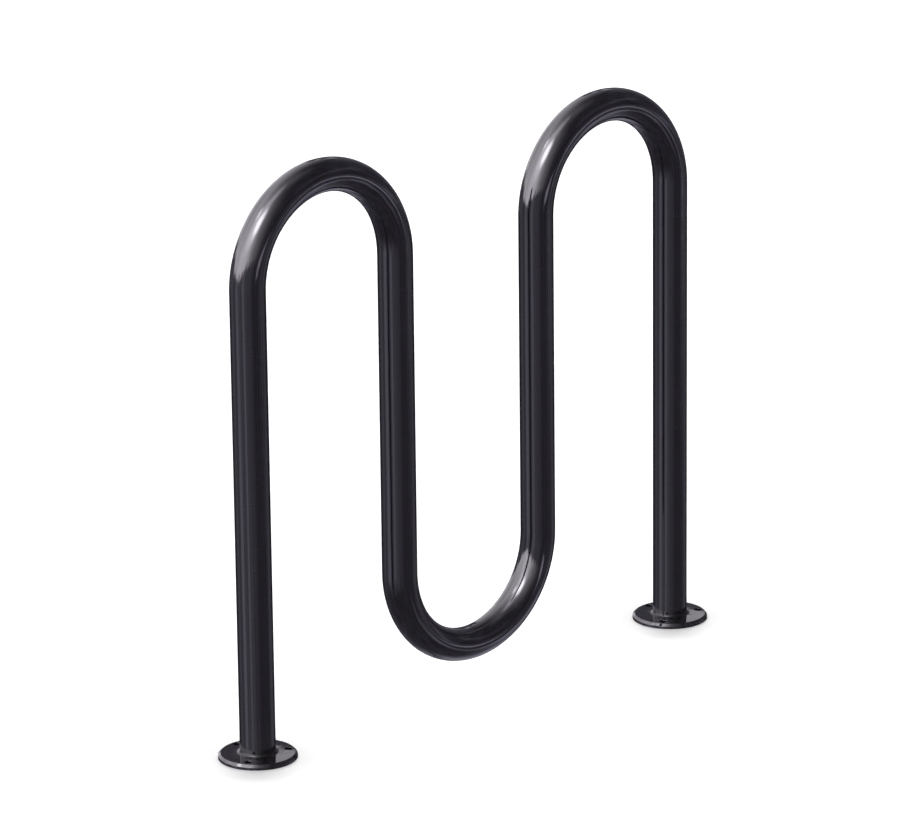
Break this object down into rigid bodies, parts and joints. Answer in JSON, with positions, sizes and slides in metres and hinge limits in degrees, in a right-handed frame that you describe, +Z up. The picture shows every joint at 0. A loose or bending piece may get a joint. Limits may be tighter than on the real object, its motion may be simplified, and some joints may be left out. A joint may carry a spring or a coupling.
{
  "type": "hoop bike rack",
  "caption": "Bike rack of one round pipe bent into a wave of upright hoops with a low bend between, standing on round bolt-down flanges.",
  "frame": {"origin": "on the ground, half way between the two flanges", "axes": "+X along the row of legs, +Y across the rack, the way a wheel goes in, +Z up"},
  "size_m": [1.123, 0.133, 0.996],
  "materials": {
    "pipe_coat": "gloss black powder coat",
    "flange_coat": "gloss black powder coat, scuffed by shoes",
    "weld_coat": "gloss black powder coat over a weld bead"
  },
  "bodies": {
    "root": {"wave_pipe": "pipe_coat", "left_flange": "flange_coat", "right_flange": "flange_coat", "left_weld": "weld_coat", "right_weld": "weld_coat"}
  },
  "joints": []
}
